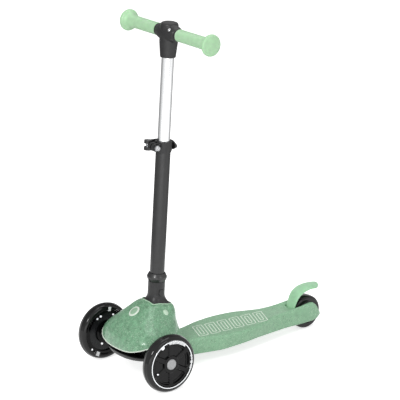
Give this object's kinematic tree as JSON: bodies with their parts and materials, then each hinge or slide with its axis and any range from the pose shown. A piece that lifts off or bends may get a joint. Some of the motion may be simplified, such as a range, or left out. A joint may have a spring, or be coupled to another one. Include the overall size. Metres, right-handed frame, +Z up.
{
  "type": "three wheel kids scooter",
  "caption": "Lean-to-steer kids scooter with paired front wheels under a moulded hood, a waisted deck, a rear mudguard brake and a telescopic stem with a quick-release clamp.",
  "frame": {"origin": "on the ground under the middle of the footprint", "axes": "+Z up, -Y the way it rides, +X the rider's left"},
  "size_m": [0.283, 0.5398, 0.7234],
  "materials": {
    "deck_green": "fine-grained satin with pale speckles",
    "hood_green": "satin gloss with pale speckles",
    "mint": "satin, slightly translucent",
    "black_plastic": "satin",
    "black_paint": "satin powder coat",
    "tyre": "glossy cast polyurethane",
    "clear_ring": "clear gloss",
    "smoked": "smoked gloss",
    "lamp_board": "lamps in clear plastic",
    "hub_grey": "satin metallic grey",
    "silver_tube": "bright anodised",
    "bright_steel": "polished",
    "steel": "zinc plated",
    "nylon": "natural nylon",
    "bumper_rubber": "matte"
  },
  "bodies": {
    "chassis": {"deck": "deck_green", "front_hood": "hood_green", "steering_bracket": "black_paint", "kingpin": "steel", "kingpin_nut": "steel", "stem_socket": "black_plastic", "socket_ring": "black_plastic", "lower_tube": "black_paint", "clamp_collar": "black_plastic", "clamp_bolt": "steel", "clamp_nut": "bright_steel", "lever_barrel": "steel", "button_spring": "steel", "rear_axle": "steel", "rear_axle_nut": "steel", "brake_pin": "steel"},
    "handlebar": {"upper_tube": "silver_tube", "tube_bush": "nylon", "t_joint": "black_plastic", "t_joint_screw": "bright_steel", "crossbar": "steel", "grip_left": "mint", "grip_right": "mint"},
    "lever": {"clamp_lever": "black_plastic"},
    "button_left": {"socket_button_left": "black_plastic"},
    "button_right": {"socket_button_right": "black_plastic"},
    "front_truck": {"truck": "black_plastic", "steering_washer": "nylon", "steering_bumper_left": "bumper_rubber", "steering_bumper_right": "bumper_rubber", "front_axle_left": "steel", "front_axle_right": "steel", "axle_spacer_left": "steel", "axle_spacer_right": "steel", "axle_nut_left": "steel", "axle_nut_right": "steel"},
    "wheel_left": {"tyre_left": "tyre", "rim_ring_left": "clear_ring", "wheel_core_left": "smoked", "light_board_left": "lamp_board", "hub_cap_left": "hub_grey", "bearing_inner_left": "steel", "bearing_outer_left": "steel"},
    "wheel_right": {"tyre_right": "tyre", "rim_ring_right": "clear_ring", "wheel_core_right": "smoked", "light_board_right": "lamp_board", "hub_cap_right": "hub_grey", "bearing_inner_right": "steel", "bearing_outer_right": "steel"},
    "wheel_rear": {"rear_tyre": "tyre", "rear_core": "black_plastic", "rear_bearing_left": "steel", "rear_bearing_right": "steel"},
    "brake": {"brake_fender": "mint", "brake_pad": "steel"}
  },
  "joints": [
    {"name": "bar_height", "type": "slide", "parent": "chassis", "child": "handlebar", "axis": [0, 0.0663, 0.9978], "range_m": [-0.14, 0.05]},
    {"name": "lever_swing", "type": "hinge", "parent": "chassis", "child": "lever", "pos_m": [-0.019, -0.1614, 0.47353], "axis": [0, 0.0663, 0.9978], "range_deg": [0, 150]},
    {"name": "button_left_press", "type": "slide", "parent": "chassis", "child": "button_left", "axis": [-1, 0, 0], "range_m": [0, 0.0034], "stiffness_N_per_m": 3000},
    {"name": "button_right_press", "type": "slide", "parent": "chassis", "child": "button_right", "axis": [1, 0, 0], "range_m": [0, 0.0034], "stiffness_N_per_m": 3000},
    {"name": "truck_lean", "type": "hinge", "parent": "chassis", "child": "front_truck", "pos_m": [0, -0.2099, 0.06], "axis": [0, -0.6428, 0.766], "range_deg": [-10, 10], "stiffness_Nm_per_rad": 60},
    {"name": "left_wheel_spin", "type": "hinge", "parent": "front_truck", "child": "wheel_left", "pos_m": [0.1134, -0.2099, 0.06], "axis": [1, 0, 0], "continuous": true},
    {"name": "right_wheel_spin", "type": "hinge", "parent": "front_truck", "child": "wheel_right", "pos_m": [-0.1134, -0.2099, 0.06], "axis": [1, 0, 0], "continuous": true},
    {"name": "rear_wheel_spin", "type": "hinge", "parent": "chassis", "child": "wheel_rear", "pos_m": [0, 0.2331, 0.0368], "axis": [1, 0, 0], "continuous": true},
    {"name": "brake_press", "type": "hinge", "parent": "chassis", "child": "brake", "pos_m": [0, 0.1911, 0.045], "axis": [-1, 0, 0], "range_deg": [0, 8], "stiffness_Nm_per_rad": 1.5, "springref_deg": -8.59}
  ]
}
